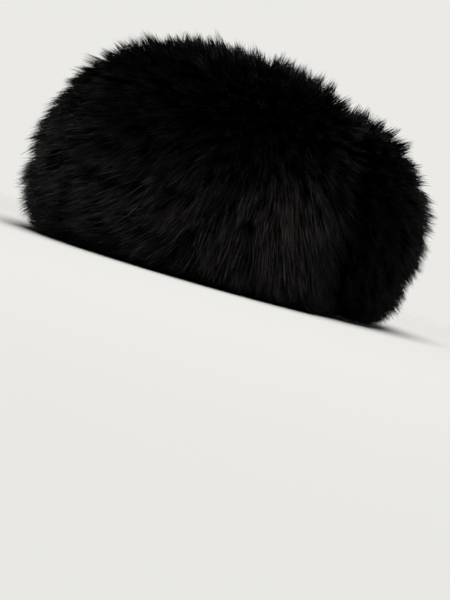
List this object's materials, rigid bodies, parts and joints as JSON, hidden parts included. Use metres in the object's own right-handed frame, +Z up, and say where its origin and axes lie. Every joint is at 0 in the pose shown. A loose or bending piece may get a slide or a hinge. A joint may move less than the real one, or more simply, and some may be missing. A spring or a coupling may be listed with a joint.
{
  "type": "fur winter hat",
  "caption": "Round winter hat of long black fur over a hollow leather cap, with a broad front panel and a smaller back panel that meet in a furrow, to warm the head.",
  "frame": {"origin": "on the ground under the middle of the hat's box; the rim lies in the plane z = 0", "axes": "+Z up, the wearer faces -Y, +X towards the wearer's left"},
  "size_m": [0.3004, 0.3128, 0.1735],
  "materials": {
    "leather": "matt black suede side",
    "fur": "long soft black fur"
  },
  "bodies": {
    "root": {"leather_cap": "leather", "front_fur": "fur", "back_fur": "fur"}
  },
  "joints": []
}
